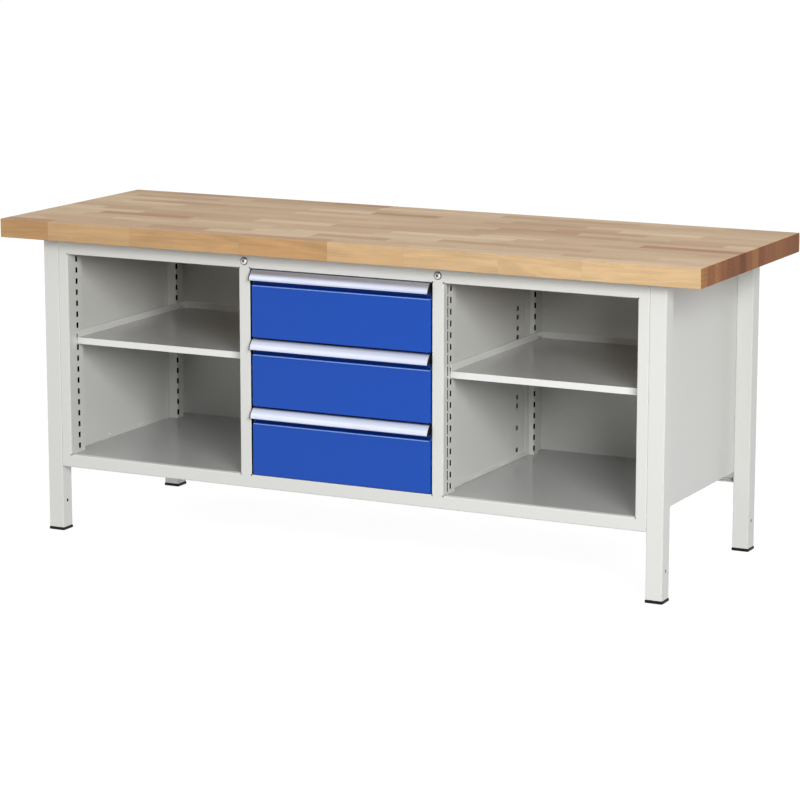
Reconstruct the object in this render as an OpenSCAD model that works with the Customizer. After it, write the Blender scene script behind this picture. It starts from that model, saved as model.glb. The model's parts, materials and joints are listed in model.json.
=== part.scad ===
// Workbench with two open shelf bays and a middle bay of three drawers.
// Millimetres. X runs along the bench, Y runs from front (-) to back (+), Z is up.
// The origin is the middle of the footprint, on the floor.

/* [Overall] */
// Length of the worktop
bench_w = 2000; // [1600:50:2500]
// Depth of the worktop
bench_d = 700; // [680:10:800]
// Height of the worktop's upper face
bench_h = 850; // [840:10:950]
// Thickness of the worktop
top_t = 50; // [35:5:60]
// Chamfer on the worktop's edges
top_chamfer = 1.5; // [0.5:0.5:4]
// Worktop overhang past the legs, each side
overhang_side = 105; // [20:5:150]
// Worktop overhang past the legs, front
overhang_front = 47; // [20:1:60]
// Worktop overhang past the legs, rear
overhang_rear = 3; // [0:1:10]

/* [Legs and feet] */
// Outside width of the square leg tube
leg_size = 45; // [40:5:60]
// Wall of the leg tube
leg_wall = 2; // [1.5:0.5:3]
// Outside corner radius of the leg tube
leg_round = 3; // [2.5:0.5:5]
// Diameter of the cross hole in each leg
leg_hole_d = 9; // [7:1:12]
// Height of the cross hole above the floor
leg_hole_z = 80; // [60:5:120]
// Height of the foot cap below the leg
foot_h = 8; // [5:1:12]
// How far the foot cap stands out past the leg at the floor
foot_flare = 1.5; // [0.5:0.5:3]
// Depth of the foot cap's plug inside the leg
foot_plug_h = 22; // [15:1:40]
// Clearance of the plug's ribs inside the tube
foot_fit = 0.1; // [0.05:0.05:0.5]

/* [Front frame] */
// Sheet thickness of the front frame and the rear rails
frame_t = 2; // [1.5:0.5:2.5]
// Outside radius of the folds
fold_r = 3; // [2.5:0.5:4]
// Height of the bays' floor line above the floor
bay_z = 213; // [200:1:225]
// Face height of the bottom rail
bottom_rail_h = 34.5; // [30:0.5:45]
// Face height of the top rail
top_rail_h = 41; // [35:1:50]
// Face width of the outer stiles
stile_w = 30; // [25:1:45]
// Face width of the two mullions
mullion_w = 32.5; // [30:0.5:45]
// Depth of the folded returns round the bays
return_d = 16; // [12:1:20]
// Depth of the top flange that carries the worktop
top_flange_d = 40; // [36:1:45]
// Depth of the bottom flange
bottom_flange_d = 25; // [15:1:30]

/* [Panels and floors] */
// Sheet thickness of panels, floors, shelves and drawers
sheet_t = 1.5; // [1:0.25:2]
// Height of the floor pans' folded edges
pan_edge_h = 25; // [15:1:30]
// Height of the strip along the foot of each divider, from the floor
skirt_h = 12; // [8:1:15]
// Open seam between that strip and the floor
skirt_gap = 2; // [0.5:0.1:3]
// Diameter of the round holes in the dividers
divider_hole_d = 11; // [6:1:12]

/* [Slotted uprights] */
// Depth of the square posts on the dividers
post_d = 53; // [45:1:60]
// Width of the slotted face of the rear uprights on the side walls
upright_face = 30; // [25:1:40]
// Vertical spacing of the slots
slot_pitch = 30; // [25:5:40]
// Number of slots in a column
slot_count = 18; // [12:1:18]
// Height of a shelf slot
slot_h = 15; // [10:1:18]
// Width of a shelf slot
slot_w = 11; // [6:0.5:12]
// Height of a slide slot
long_slot_h = 25; // [20:1:26]
// Width of a slide slot
long_slot_w = 7; // [4:0.5:8]
// Distance of the shelf slots in front of and behind the middle
slot_y = 260; // [258:1:262]

/* [Shelves] */
// Height of the shelves' upper face
shelf_z = 529; // [529:30:559]
// Height of the shelf's folded front lip
shelf_lip_h = 17.5; // [15:0.5:18]
// Height of the shelf's side and rear lips above its surface
shelf_edge_h = 18; // [10:1:25]
// Gap between a shelf and the uprights, each side
shelf_gap = 1.5; // [1:0.5:3]

/* [Drawers] */
// Number of drawers
drawer_count = 3; // [3:1:3]
// Gap between a drawer front and the frame, each side
front_gap = 4; // [3:0.5:6]
// Height of the flat part of the drawer front
front_face_h = 137; // [120:1:140]
// Gap under each drawer front
front_gap_low = 1.5; // [1:0.5:3]
// Gap above each handle
handle_gap_top = 2.5; // [2:0.5:4]
// Depth of the recess behind the handle
recess_d = 10; // [8:1:14]
// Rise of the sloped shoulder under the handle
shoulder_rise = 5.8; // [4:0.1:8]
// How far the handle lip stands out from the front
handle_reach = 16; // [12:1:20]
// Drop from the handle's top to its lip
handle_drop = 23.8; // [20:0.2:26]
// Bulge of the handle's curved face
handle_bulge = 2.5; // [1:0.5:4]
// Thickness of the handle strip
handle_t = 1.8; // [1.5:0.1:2.5]
// Radius of the rolled bead on the handle lip
bead_r = 2.2; // [1.5:0.1:3]
// Thickness of the handle's end caps
cap_t = 2; // [1.5:0.5:5]
// Length of the drawer box
box_l = 550; // [500:10:560]
// Height of the drawer box
box_h = 130; // [100:5:150]
// Width of the folded rim outside the drawer box's sides
rim_w = 4; // [3:0.5:6]
// Height of the folded rim
rim_h = 8; // [5:1:12]
// Height of the drawer box above its bay
box_lift = 14; // [10:1:20]

/* [Slides] */
// Length of the slide members
slide_l = 540; // [500:10:545]
// Thickness of a slide, between the post and the drawer box
slide_w = 13.2; // [13.2:0.1:14]
// Height of the outer member
slide_h = 45; // [45:1:50]
// Metal thickness of the slide members
slide_t = 1.2; // [1:0.1:1.2]
// Height of the slide's centre line above its bay
slide_lift = 60; // [50:1:70]
// Diameter of the bearing balls
ball_d = 5; // [4.5:0.5:5]
// Running clearance round balls and cages
run_gap = 0.3; // [0.25:0.05:0.3]
// Number of balls in a row
ball_count = 5; // [3:1:5]
// Spacing of the balls
ball_pitch = 60; // [40:5:60]

/* [Fasteners] */
// Diameter of the dome-head bolts' heads
dome_d = 22; // [18:1:24]
// Height of the dome-head bolts' heads
dome_h = 6; // [4:0.5:8]
// Shank diameter of the dome-head bolts
bolt_d = 8; // [6:1:10]
// Shank diameter of the worktop screws
screw_d = 6; // [4:0.5:7]
// Length of the worktop screws under the head
screw_l = 30; // [15:1:32]
// Number of worktop screws along each flange
screw_count = 6; // [4:2:6]

/* [Hidden] */
$fn = 48;
drawers = [1 : drawer_count];
ends = [-1, 1];
frame_w = bench_w - 2 * (overhang_side + leg_size);
frame_x = frame_w / 2;
frame_z = bench_h - top_t;
front_y = -bench_d / 2 + overhang_front;
rear_y = bench_d / 2 - overhang_rear;
rail_z = bay_z - bottom_rail_h;
bay_w = (frame_w - 2 * stile_w - 2 * mullion_w) / 3;
bay_h = frame_z - top_rail_h - bay_z;
bay_top = bay_z + bay_h;
bay_pitch = bay_w + mullion_w;
divider_x = bay_pitch / 2;
// Outer face of the flat sheet that is joined to a divider's side bay face
lap_x = divider_x + 1.5 * sheet_t;
post_front = front_y + return_d;
post_rear = 284;
// Sheets that only touch are drawn this far apart
skin = 0.2;
// Height where the floor pans' upper face lies
floor_top = bay_z - skin;
panel_top = frame_z - frame_t - skin;
panel_inset = 7;
back_y = rear_y - panel_inset;
relief = 1;
first_slot_rise = 18;
slot_z0 = bay_z + first_slot_rise;
long_slot_step = 17;
hole_clear = 0.25;
divider_hole_y = 179;
divider_hole_z = [240, 300, 360, 384, 546, 570, 600, 624];
upright_rear_y = slot_y - 4;
// Flange that joins a rear upright to the wall in front of it
wall_flange = 18;
upright_x = frame_x - stile_w;
wall_x = frame_x - sheet_t;
pan_front = front_y + return_d + skin;
shelf_w = bay_w - 2 * shelf_gap;
shelf_front_reach = 5;
shelf_rear_reach = 32;
shelf_front = -slot_y - shelf_front_reach;
shelf_rear = slot_y + shelf_rear_reach;
shelf_return = 8;
shelf_notch = [12, 18];
// Open hole at the foot of each slanting corner: inwards, along the edge, upwards
shelf_hole = [7, 20, 7];
drawer_pitch = bay_h / drawer_count;
face_w = bay_w - 2 * front_gap;
box_half = bay_w / 2 - slide_w;
box_front = front_y + recess_d + sheet_t;
front_return = recess_d + sheet_t;
handle_top = drawer_pitch - handle_gap_top;
handle_plate_t = 2.5;
lip_y = front_y - handle_reach;
lip_z = handle_top - handle_drop;
bead_tuck = 0.6;
plate_lead = 1.5;
slide_setback = 18;
slide_y0 = front_y + slide_setback;
slide_hook_x = bay_w / 2;
cage_t = 0.5;
cage_margin = 15;
cage_l = (ball_count - 1) * ball_pitch + 2 * cage_margin;
cage_y = -15;
ball_z1 = slide_h / 2 - slide_t - run_gap - ball_d / 2;
mid_h = 2 * (ball_z1 - ball_d / 2 - run_gap);
ball_z2 = mid_h / 2 - slide_t - run_gap - ball_d / 2;
inner_h = 2 * (ball_z2 - ball_d / 2 - run_gap);
mid_x = slide_t + cage_t + 2 * run_gap;
inner_x = mid_x + slide_t + cage_t + 2 * run_gap;
flange_y = 25;
rear_flange_d = 40;
screw_y = [front_y + flange_y, rear_y - flange_y];
screw_end = 70;
screw_span = frame_w - 2 * screw_end;
screw_head_d = 11;
screw_head_h = 3.5;
screw_socket_d = 4;
screw_socket_deep = 2;
bolt_level = 0.45;
bolt_z = bay_top + top_rail_h * bolt_level;
bolt_past = 14;
bolt_l = return_d + bolt_past;
bolt_socket_d = 5.8;
bolt_socket_deep = 3.5;
nut_d = 16;
nut_l = 7;
// Depth of the weld nut in the post, and how far the bolt's hole goes past it
nut_inset = 1;
nut_past = 3;
clip_w = 3;
clip_reach = 13;
clip_h = 12;
clip_hook = 8;

LEGS = ["leg_front_left", "leg_front_right", "leg_rear_left", "leg_rear_right"];
FEET = ["foot_front_left", "foot_front_right", "foot_rear_left", "foot_rear_right"];
UPRIGHTS = ["upright_front_left", "upright_front_right", "upright_rear_left", "upright_rear_right"];
POSTS = ["post_front_left", "post_front_right", "post_rear_left", "post_rear_right"];
PAIRS = ["left", "right"];
DRAWER_PARTS = ["box", "front", "handle", "end_caps", "inner_slides", "middle_slides",
    "outer_slides", "outer_cages", "inner_cages"];

// Colours of the painted, wooden, metal and plastic pieces
light_grey = [0.86, 0.87, 0.86];
deep_blue = [0.10, 0.26, 0.68];
beech = [0.80, 0.64, 0.46];
zinc = [0.74, 0.75, 0.77];
silver = [0.84, 0.85, 0.88];
jet = [0.06, 0.06, 0.07];

// Left or front is -1, right or rear is +1, in the order of the four-name lists
function end_x(i) = ends[i % 2];
function end_y(i) = ends[floor(i / 2)];

// A block between two opposite corners
module block(low, high) {
    translate(low)
        cube(high - low);
}

// A shape and its mirror image, left and right
module both_sides() {
    for (s = ends)
        scale([s, 1, 1])
            children();
}

// A square with round corners, about its middle
module round_square(size, r) {
    square([size, size - 2 * r], center = true);
    square([size - 2 * r, size], center = true);
    for (x = ends, y = ends)
        translate([x, y] * (size / 2 - r))
            circle(r);
}

// A strip of sheet that follows points, round at every bend
module strip_2d(points, t) {
    for (i = [0 : len(points) - 2]) {
        step = points[i + 1] - points[i];
        translate(points[i])
            rotate(atan2(step[1], step[0]))
                translate([0, -t / 2])
                    square([norm(step), t]);
    }
    for (p = points)
        translate(p)
            circle(t / 2);
}

// Draws a YZ outline along X between two stations
module along_x(x0, x1) {
    translate([x0, 0, 0])
        rotate([90, 0, 90])
            linear_extrude(x1 - x0)
                children();
}

// ---- Worktop ----

// An outline with chamfered corners, about its middle
module chamfered_2d(w, h, c) {
    polygon([
        [c - w / 2, -h / 2], [w / 2 - c, -h / 2], [w / 2, c - h / 2], [w / 2, h / 2 - c],
        [w / 2 - c, h / 2], [c - w / 2, h / 2], [-w / 2, h / 2 - c], [-w / 2, c - h / 2]
    ]);
}

module screw_places() {
    for (y = screw_y, i = [0 : screw_count - 1])
        translate([screw_span * (i / (screw_count - 1) - 0.5), y, frame_z])
            children();
}

module worktop() {
    color(beech)
        difference() {
            intersection() {
                translate([0, 0, bench_h - top_t / 2])
                    rotate([90, 0, 90])
                        linear_extrude(bench_w, center = true)
                            chamfered_2d(bench_d, top_t, top_chamfer);
                translate([0, 0, bench_h - top_t / 2])
                    rotate([90, 0, 0])
                        linear_extrude(bench_d, center = true)
                            chamfered_2d(bench_w, top_t, top_chamfer);
            }
            screw_places()
                cylinder(h = screw_l - frame_t, d = screw_d);
        }
}

module worktop_screws() {
    color(zinc)
        screw_places() {
            translate([0, 0, -frame_t])
                cylinder(h = screw_l, d = screw_d);
            difference() {
                translate([0, 0, -frame_t - screw_head_h])
                    cylinder(h = screw_head_h, d = screw_head_d);
                translate([0, 0, -frame_t - screw_head_h - 1])
                    cylinder(h = screw_socket_deep + 1, d = screw_socket_d, $fn = 6);
            }
        }
}

// ---- Legs and feet ----

module at_leg(i) {
    translate([
        end_x(i) * (frame_x + leg_size / 2),
        end_y(i) < 0 ? front_y + leg_size / 2 : rear_y - leg_size / 2,
        0
    ])
        children();
}

module leg(i) {
    color(light_grey)
        at_leg(i)
            difference() {
                translate([0, 0, foot_h])
                    linear_extrude(frame_z - foot_h)
                        difference() {
                            round_square(leg_size, leg_round);
                            round_square(leg_size - 2 * leg_wall, leg_round - leg_wall);
                        }
                translate([0, 0, leg_hole_z])
                    rotate([0, 90, 0])
                        cylinder(h = leg_size + 2, d = leg_hole_d, center = true);
            }
}

// One of the two crossed wedge outlines that make the flared base
module foot_flare_2d() {
    lower = leg_size / 2 + foot_flare;
    polygon([[-lower, 0], [lower, 0], [lower, foot_h / 2], [leg_size / 2, foot_h],
        [-leg_size / 2, foot_h], [-lower, foot_h / 2]]);
}

module foot(i) {
    plug = leg_size - 2 * leg_wall - 2 * foot_fit;
    plug_wall = 3;
    length = leg_size + 2 * foot_flare;
    color(jet)
        at_leg(i) {
            intersection() {
                rotate([90, 0, 0])
                    linear_extrude(length, center = true)
                        foot_flare_2d();
                rotate([90, 0, 90])
                    linear_extrude(length, center = true)
                        foot_flare_2d();
            }
            translate([0, 0, foot_h - 1])
                linear_extrude(foot_plug_h + 1)
                    difference() {
                        round_square(plug, leg_round - leg_wall);
                        square(plug - 2 * plug_wall, center = true);
                    }
        }
}

// ---- Front frame ----

// Cross-section of a folded edge: strip of face, bend and return; X is depth, Y is down
module fold_2d(depth) {
    overlap = 2;
    translate([0, -fold_r - overlap])
        square([frame_t, overlap]);
    translate([fold_r, -fold_r])
        intersection() {
            difference() {
                circle(fold_r);
                circle(fold_r - frame_t);
            }
            translate([-fold_r, 0])
                square(fold_r);
        }
    translate([fold_r, -frame_t])
        square([depth - fold_r, frame_t]);
}

module fold_bar(length, depth) {
    translate([-length / 2, 0, 0])
        along_x(0, length)
            fold_2d(depth);
}

module bay_window(i, grow) {
    translate([(i - 1) * bay_pitch, front_y, (bay_z + bay_top) / 2])
        cube([bay_w + 2 * grow, 3 * frame_t, bay_h + 2 * grow], center = true);
}

// The four folded returns round one bay
module bay_folds(i) {
    translate([(i - 1) * bay_pitch, front_y, (bay_z + bay_top) / 2])
        for (k = [0 : 3])
            rotate([0, 90 * k, 0])
                translate([0, 0, -(k % 2 == 0 ? bay_h : bay_w) / 2])
                    fold_bar((k % 2 == 0 ? bay_w : bay_h) - 2 * relief, return_d);
}

// The folds round the frame's outside: top, right, bottom, left
module outer_folds() {
    depths = [top_flange_d, return_d, bottom_flange_d, return_d];
    face_h = frame_z - rail_z;
    translate([0, front_y, (frame_z + rail_z) / 2])
        for (k = [0 : 3])
            rotate([0, 90 * k, 0])
                translate([0, 0, (k % 2 == 0 ? face_h : frame_w) / 2])
                    fold_bar((k % 2 == 0 ? frame_w : face_h) - 2 * fold_r, depths[k]);
}

module front_frame() {
    color(light_grey)
        difference() {
            union() {
                difference() {
                    block([-frame_x + fold_r, front_y, rail_z + fold_r],
                        [frame_x - fold_r, front_y + frame_t, frame_z - fold_r]);
                    for (i = [0 : 2])
                        bay_window(i, fold_r);
                }
                for (i = [0 : 2])
                    bay_folds(i);
                outer_folds();
            }
            both_sides()
                translate([divider_x, front_y, bolt_z])
                    rotate([90, 0, 0])
                        cylinder(h = 3 * frame_t, d = bolt_d + 2 * hole_clear, center = true);
            screw_places()
                cylinder(h = 3 * frame_t, d = screw_d + 2 * hole_clear, center = true);
        }
}

module frame_bolts() {
    dome_r = (pow(dome_d / 2, 2) + pow(dome_h, 2)) / (2 * dome_h);
    color(zinc)
        both_sides()
            translate([divider_x, front_y, bolt_z])
                rotate([90, 0, 0]) {
                    difference() {
                        rotate_extrude()
                            intersection() {
                                translate([0, dome_h - dome_r])
                                    circle(dome_r);
                                square([dome_d, dome_h]);
                            }
                        translate([0, 0, dome_h - bolt_socket_deep])
                            cylinder(h = bolt_socket_deep + 1, d = bolt_socket_d, $fn = 6);
                    }
                    translate([0, 0, -bolt_l])
                        cylinder(h = bolt_l, d = bolt_d);
                }
}

// ---- Rear rails, panels and floors ----

module rear_top_rail() {
    rail_x = frame_x - sheet_t - skin;
    color(light_grey)
        difference() {
            union() {
                block([-rail_x, rear_y - frame_t, bay_top], [rail_x, rear_y, frame_z]);
                block([-rail_x, rear_y - rear_flange_d, frame_z - frame_t], [rail_x, rear_y, frame_z]);
            }
            screw_places()
                cylinder(h = 3 * frame_t, d = screw_d + 2 * hole_clear, center = true);
        }
}

module rear_bottom_rail() {
    color(light_grey) {
        block([-frame_x, rear_y - frame_t, rail_z], [frame_x, rear_y, bay_z]);
        block([-frame_x, back_y + skin, bay_z - frame_t], [frame_x, rear_y, bay_z]);
        block([-frame_x, rear_y - bottom_flange_d, rail_z], [frame_x, rear_y, rail_z + frame_t]);
    }
}

module back_panel() {
    color(light_grey)
        block([skin - wall_x, back_y - sheet_t, bay_z - pan_edge_h], [wall_x - skin, back_y, panel_top]);
}

module side_panel(s) {
    color(light_grey)
        scale([s, 1, 1])
            block([wall_x, post_front, floor_top], [frame_x, back_y, panel_top]);
}

// Sheet with notches where the two posts stand, and a strip along its foot on the side bay's face
module divider(s) {
    y = [post_front + skin, post_front + post_d, post_rear - post_d, post_rear, back_y - sheet_t - skin];
    low = bay_z - pan_edge_h;
    color(light_grey) {
        scale([s, 1, 1])
            block([divider_x, post_front + post_d + skin, floor_top + skirt_gap],
                [lap_x, post_rear - post_d - skin, floor_top + skirt_h]);
        translate([s * divider_x - sheet_t / 2, 0, 0])
            difference() {
                along_x(0, sheet_t)
                    polygon([
                        [y[0], low], [y[4], low], [y[4], panel_top], [y[3], panel_top],
                        [y[3], floor_top], [y[2], floor_top], [y[2], panel_top], [y[1], panel_top],
                        [y[1], floor_top], [y[0], floor_top]
                    ]);
                for (z = divider_hole_z)
                    translate([0, divider_hole_y, z])
                        rotate([0, 90, 0])
                            cylinder(h = 3 * sheet_t, d = divider_hole_d, center = true);
            }
    }
}

// Pan with its front and rear edges folded down
module floor_pan(x0, x1) {
    rear = back_y - sheet_t - skin;
    low = bay_z - pan_edge_h;
    color(light_grey) {
        block([x0, pan_front, floor_top - sheet_t], [x1, rear, floor_top]);
        block([x0, pan_front, low], [x1, pan_front + sheet_t, floor_top]);
        block([x0, rear - sheet_t, low], [x1, rear, floor_top]);
    }
}

module floor_side(s) {
    inner = divider_x + sheet_t / 2 + skin;
    if (s < 0)
        floor_pan(-frame_x, -inner);
    else
        floor_pan(inner, frame_x);
}

module floor_centre() {
    half = divider_x - sheet_t / 2 - skin;
    floor_pan(-half, half);
}

// ---- Slotted uprights ----

// A column of slots, through everything from x0 to x1
module slot_column(x0, x1, y, w, h) {
    for (k = [0 : slot_count - 1])
        block([x0, y - w / 2, slot_z0 + k * slot_pitch - h / 2],
            [x1, y + w / 2, slot_z0 + k * slot_pitch + h / 2]);
}

// Slotted channel that stands open side to the side wall; a rear one also has a flange on the wall
module upright(i) {
    front = end_y(i) < 0;
    y0 = front ? post_front : upright_rear_y;
    y1 = y0 + (front ? post_d : upright_face);
    color(light_grey)
        scale([end_x(i), 1, 1])
            difference() {
                union() {
                    difference() {
                        block([upright_x, y0, floor_top], [wall_x, y1, panel_top]);
                        block([upright_x + sheet_t, y0 + sheet_t, 0], [bench_w, y1 - sheet_t, bench_h]);
                    }
                    if (!front)
                        block([wall_x - sheet_t, y0 - wall_flange, floor_top],
                            [wall_x, y0 + sheet_t, panel_top]);
                }
                slot_column(upright_x - 1, upright_x + sheet_t + 1, end_y(i) * slot_y, slot_w, slot_h);
            }
}

// Plan of a post, all walls moved in by inset. A rear one is stepped: its slotted side bay
// face stands back behind a flat flange.
module post_2d(i, inset) {
    y0 = end_y(i) < 0 ? post_front : post_rear - post_d;
    x0 = divider_x - mullion_w / 2;
    x1 = divider_x + mullion_w / 2;
    translate([x0 + inset, y0 + inset])
        square([(end_y(i) < 0 ? x1 : lap_x) - x0 - 2 * inset, post_d - 2 * inset]);
    if (end_y(i) > 0)
        translate([x0 + inset, upright_rear_y + inset])
            square([mullion_w - 2 * inset, y0 + post_d - upright_rear_y - 2 * inset]);
}

// Slotted post in line with a mullion: drawer slides on one side, a shelf on the other
module post(i) {
    front = end_y(i) < 0;
    x0 = divider_x - mullion_w / 2;
    x1 = divider_x + mullion_w / 2;
    nut_y = post_front + nut_inset + nut_l;
    color(light_grey)
        scale([end_x(i), 1, 1])
            difference() {
                union() {
                    difference() {
                        translate([0, 0, floor_top])
                            linear_extrude(panel_top - floor_top)
                                post_2d(i, 0);
                        linear_extrude(bench_h)
                            post_2d(i, sheet_t);
                    }
                    if (front)
                        translate([divider_x, nut_y, bolt_z])
                            rotate([90, 0, 0])
                                cylinder(h = nut_l, d = nut_d);
                }
                for (x = [x0, x1 - sheet_t])
                    slot_column(x - 1, x + sheet_t + 1, end_y(i) * slot_y, slot_w, slot_h);
                for (x = front ? [x0, x1 - sheet_t] : [x0])
                    slot_column(x - 1, x + sheet_t + 1, end_y(i) * (slot_y + long_slot_step),
                        long_slot_w, long_slot_h);
                if (front)
                    translate([divider_x, nut_y + nut_inset, bolt_z])
                        rotate([90, 0, 0])
                            cylinder(h = nut_l + nut_inset + nut_past, d = bolt_d);
            }
}

// ---- Shelves ----

// Band along the slanting line of a shelf's rear corner: width goes outward, or inward if negative
module shelf_corner_2d(x1, width) {
    slant = norm(shelf_notch);
    side = [x1, shelf_rear - shelf_notch[1]];
    back = [x1 - shelf_notch[0], shelf_rear];
    polygon([
        side, back, back + [width * slant / shelf_notch[1], 0], side + [0, width * slant / shelf_notch[0]]
    ]);
}

// Tray with a folded front lip, upright side and rear edges, and slanting rear corners
module shelf(s) {
    x1 = shelf_w / 2;
    z1 = shelf_z - sheet_t / 2;
    z_low = shelf_z - shelf_lip_h + sheet_t / 2;
    front = shelf_front + sheet_t / 2;
    rear = shelf_rear - sheet_t / 2;
    z_top = shelf_z + shelf_edge_h;
    z_high = z_top - sheet_t / 2;
    color(light_grey)
        translate([s * bay_pitch, 0, 0])
            difference() {
                union() {
                    along_x(-x1, x1)
                        strip_2d([[front + shelf_return, z_low], [front, z_low], [front, z1],
                            [rear, z1], [rear, z_high]], sheet_t);
                    both_sides() {
                        block([x1 - sheet_t, shelf_front + sheet_t, shelf_z - sheet_t],
                            [x1, shelf_rear, z_top]);
                        translate([0, 0, shelf_z - sheet_t])
                            linear_extrude(z_top - shelf_z + sheet_t)
                                shelf_corner_2d(x1, -sheet_t);
                    }
                }
                both_sides() {
                    translate([0, 0, shelf_z - 2 * sheet_t])
                        linear_extrude(2 * shelf_edge_h + 2 * sheet_t)
                            shelf_corner_2d(x1, shelf_notch[1]);
                    translate([x1, shelf_rear - shelf_notch[1] + shelf_hole[1] / 4, shelf_z])
                        block([-shelf_hole[0], -shelf_hole[1] / 2, -2 * sheet_t],
                            [shelf_hole[0], shelf_hole[1] / 2, shelf_hole[2]]);
                }
            }
}

// S-hook that stands through a slot and carries the shelf's edge
module clip() {
    top = shelf_z - sheet_t;
    slot = floor((top - slot_z0) / slot_pitch + 0.5);
    neck_z = slot_z0 + slot * slot_pitch - slot_h / 2;
    color(zinc)
        translate([0, clip_w / 2, 0])
            rotate([90, 0, 0])
                linear_extrude(clip_w)
                    polygon([
                        [0, top], [clip_reach, top], [clip_reach, top - clip_w], [0, top - clip_h],
                        [0, neck_z], [-sheet_t, neck_z], [-sheet_t, top - clip_hook],
                        [-sheet_t - clip_w, top - clip_hook], [-sheet_t - clip_w, top]
                    ]);
}

module shelf_clips() {
    for (bay = ends, s = ends, y = ends)
        translate([bay * bay_pitch + s * bay_w / 2, y * slot_y, 0])
            scale([-s, 1, 1])
                clip();
}

// ---- Drawers ----

function bay_z_of(n) = bay_z + (drawer_count - n) * drawer_pitch;

// Folded box; the tops of its sides are turned out and down into a rim
module drawer_box(n) {
    z0 = bay_z_of(n) + box_lift;
    top = z0 + box_h;
    rim_x = box_half + rim_w;
    rear = box_front + box_l;
    color(light_grey) {
        difference() {
            block([-box_half, box_front, z0], [box_half, rear, top]);
            block([sheet_t - box_half, box_front + sheet_t, z0 + sheet_t],
                [box_half - sheet_t, rear - sheet_t, top + box_h]);
        }
        both_sides() {
            block([box_half - sheet_t / 2, box_front, top - sheet_t], [rim_x, rear, top]);
            block([rim_x - sheet_t, box_front, top - rim_h], [rim_x, rear, top]);
        }
    }
}

// Folded front: bottom return, flat face, sloped shoulder and riser behind the handle
module drawer_front(n) {
    z0 = bay_z_of(n);
    y0 = front_y + sheet_t / 2;
    low = front_gap_low + sheet_t / 2;
    face_top = front_gap_low + front_face_h - sheet_t / 2;
    riser_y = front_y + recess_d + sheet_t / 2;
    riser_top = handle_top - handle_plate_t - sheet_t / 2;
    color(deep_blue)
        translate([0, 0, z0]) {
            along_x(-face_w / 2, face_w / 2)
                strip_2d([[front_y + front_return, low], [y0, low], [y0, face_top],
                    [riser_y, face_top + shoulder_rise], [riser_y, riser_top]], sheet_t);
            both_sides()
                block([face_w / 2 - sheet_t, y0, low],
                    [face_w / 2, front_y + front_return, face_top]);
        }
}

// Outline of the handle between its outer curve and the recess, in the YZ plane
module handle_wedge_2d() {
    plate_low = handle_top - handle_plate_t;
    plate_rear = front_y + recess_d + sheet_t;
    polygon([[plate_rear, handle_top], [front_y, handle_top], [lip_y, lip_z],
        [lip_y + bead_r, lip_z - bead_r], [front_y + recess_d, lip_z],
        [front_y + recess_d, plate_low], [plate_rear, plate_low]]);
}

// Circular segment that bulges outwards between the handle's top edge and its lip
module handle_bulge_2d(inset) {
    chord = norm([handle_reach, handle_drop]);
    r = (pow(chord / 2, 2) + pow(handle_bulge, 2)) / (2 * handle_bulge);
    inward = [handle_drop, -handle_reach] / chord;
    middle = [front_y - handle_reach / 2, handle_top - handle_drop / 2];
    translate(middle + inward * (r - handle_bulge))
        circle(r - inset, $fn = 96);
}

// Box that trims the handle's curve to the stretch between top edge and lip
module handle_trim_2d() {
    translate([lip_y - handle_bulge, lip_z])
        square([handle_reach + handle_bulge, handle_drop]);
}

module handle(n) {
    clip_drop = 3;
    plate_low = handle_top - handle_plate_t;
    plate_rear = front_y + recess_d + sheet_t;
    color(silver)
        translate([0, 0, bay_z_of(n)])
            along_x(cap_t - face_w / 2, face_w / 2 - cap_t) {
                intersection() {
                    difference() {
                        handle_bulge_2d(0);
                        handle_bulge_2d(handle_t);
                    }
                    handle_trim_2d();
                }
                translate([lip_y + bead_r - bead_tuck, lip_z])
                    circle(bead_r);
                translate([front_y - plate_lead, plate_low])
                    square([plate_rear + plate_lead - front_y, handle_plate_t]);
                translate([front_y + recess_d - handle_t, plate_low - clip_drop])
                    square([handle_t, clip_drop + 1]);
            }
}

module end_caps(n) {
    color(jet)
        translate([0, 0, bay_z_of(n)])
            for (x = [-face_w / 2, face_w / 2 - cap_t])
                along_x(x, x + cap_t) {
                    handle_wedge_2d();
                    intersection() {
                        handle_bulge_2d(0);
                        handle_trim_2d();
                    }
                }
}

// ---- Slides ----
// A slide's cross-section: X is the depth from the post's face towards the drawer, Z is up.

// C-channel with its web at depth x0 and lips that reach depth x1; flip puts the web at x1
module channel(x0, x1, h, flip = false) {
    web = flip ? x1 - slide_t : x0;
    for (z = ends)
        translate([x0, slide_y0, z > 0 ? h / 2 - slide_t : -h / 2])
            cube([x1 - x0, slide_l, slide_t]);
    translate([web, slide_y0, -h / 2])
        cube([slide_t, slide_l, h]);
}

// Retainer strip with its two rows of balls
module cage(x0, ball_z) {
    ball_x = x0 + cage_t + run_gap + slide_t + ball_d / 2;
    translate([x0, cage_y - cage_l / 2, -ball_z])
        cube([cage_t, cage_l, 2 * ball_z]);
    for (z = ends) {
        translate([x0, cage_y - cage_l / 2, z * ball_z - cage_t / 2])
            cube([ball_x - x0 + 1, cage_l, cage_t]);
        for (k = [0 : ball_count - 1])
            translate([ball_x, cage_y + (k - (ball_count - 1) / 2) * ball_pitch, z * ball_z])
                sphere(d = ball_d);
    }
}

// Places a slide's cross-section on both sides of drawer n
module slide_pair(n) {
    for (s = ends)
        translate([s * slide_hook_x, 0, bay_z_of(n) + slide_lift])
            scale([-s, 1, 1])
                children();
}

module outer_slides(n) {
    color(zinc)
        slide_pair(n)
            channel(0, slide_w - slide_t, slide_h);
}

module middle_slides(n) {
    color(zinc)
        slide_pair(n)
            channel(mid_x, slide_w - slide_t, mid_h);
}

module inner_slides(n) {
    color(zinc)
        slide_pair(n)
            channel(inner_x, slide_w, inner_h, flip = true);
}

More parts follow.
